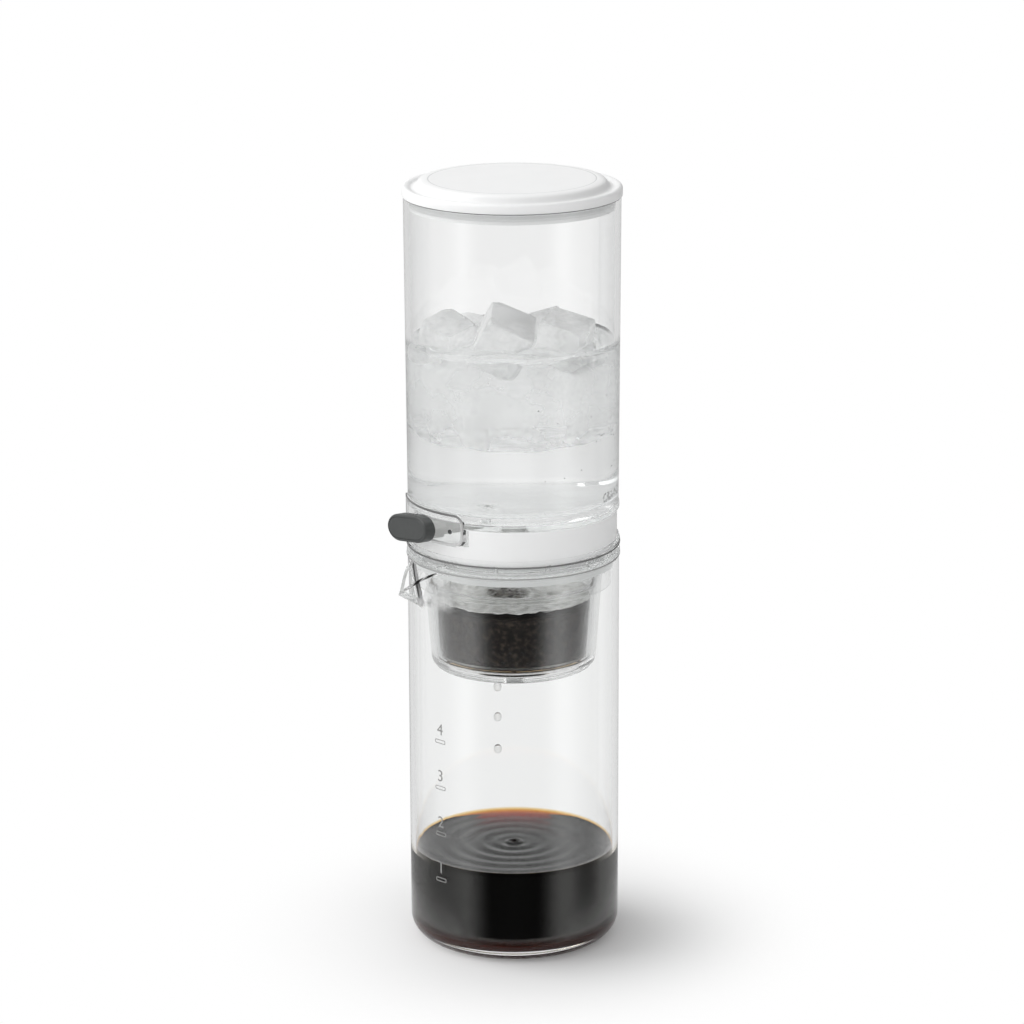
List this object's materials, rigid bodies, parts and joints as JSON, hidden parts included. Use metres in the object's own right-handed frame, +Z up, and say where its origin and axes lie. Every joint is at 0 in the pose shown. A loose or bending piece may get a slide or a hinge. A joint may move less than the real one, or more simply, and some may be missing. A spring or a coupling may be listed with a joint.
{
  "type": "cold brew coffee maker",
  "caption": "Slow-drip cold brew coffee maker: clear water tank with a needle-valve knob and lid over a coffee chamber hung in a glass carafe with a pouring lip.",
  "frame": {"origin": "centre of the carafe's resting face, on the shared centre line of carafe, chamber, tank and lid", "axes": "+Z up the centre line; the pouring lip and the valve knob point along -X; +Y to the left of someone who faces the lip"},
  "size_m": [0.0973, 0.088, 0.3171],
  "materials": {
    "clear_glass": "clear polished borosilicate glass",
    "clear_plastic": "clear polished moulded plastic",
    "frosted_plastic": "white translucent satin plastic",
    "lid_plastic": "white translucent satin plastic",
    "grey_plastic": "dark grey satin plastic",
    "white_plastic": "natural white machined plastic",
    "silicone": "translucent silicone",
    "black_rubber": "black nitrile rubber",
    "steel": "turned stainless steel",
    "steel_mesh": "fine woven stainless steel mesh"
  },
  "bodies": {
    "carafe": {"carafe_glass": "clear_glass"},
    "chamber": {"coffee_chamber": "clear_plastic", "rim_gasket": "silicone", "outlet_tip": "silicone"},
    "cup": {"filter_cup": "clear_plastic", "filter_mesh": "steel_mesh", "mesh_ring": "steel"},
    "tank": {"water_tank": "clear_plastic", "tank_base": "frosted_plastic", "base_gasket": "silicone", "index_dot": "grey_plastic", "valve_body": "white_plastic", "inlet_gasket": "silicone", "valve_seat": "silicone", "gland_nut": "white_plastic", "drip_nozzle": "white_plastic", "nozzle_gasket": "silicone"},
    "valve_knob": {"knob": "grey_plastic", "knob_cap": "grey_plastic", "knob_screw": "steel", "valve_stem": "steel", "stem_orings": "black_rubber"},
    "needle_rod": {"needle": "white_plastic"},
    "tank_lid": {"lid": "lid_plastic", "lid_seal": "silicone"}
  },
  "joints": [
    {"name": "chamber_lift", "type": "slide", "parent": "carafe", "child": "chamber", "axis": [0, 0, 1], "range_m": [0, 0.06]},
    {"name": "cup_lift", "type": "slide", "parent": "chamber", "child": "cup", "axis": [0, 0, 1], "range_m": [0, 0.055]},
    {"name": "tank_lift", "type": "slide", "parent": "cup", "child": "tank", "axis": [0, 0, 1], "range_m": [0, 0.03]},
    {"name": "knob_turn", "type": "hinge", "parent": "tank", "child": "valve_knob", "pos_m": [-0.0478, 0, 0.1798], "axis": [-1, 0, 0], "range_deg": [-30, 150]},
    {"name": "needle_travel", "type": "slide", "parent": "tank", "child": "needle_rod", "axis": [-1, 0, 0], "range_m": [-0.00017, 0.00083]},
    {"name": "lid_lift", "type": "slide", "parent": "tank", "child": "tank_lid", "axis": [0, 0, 1], "range_m": [0, 0.04]}
  ],
  "couplings": [
    {"joint": "needle_travel", "follows": "knob_turn", "m_per_rad": 0.00031831}
  ]
}
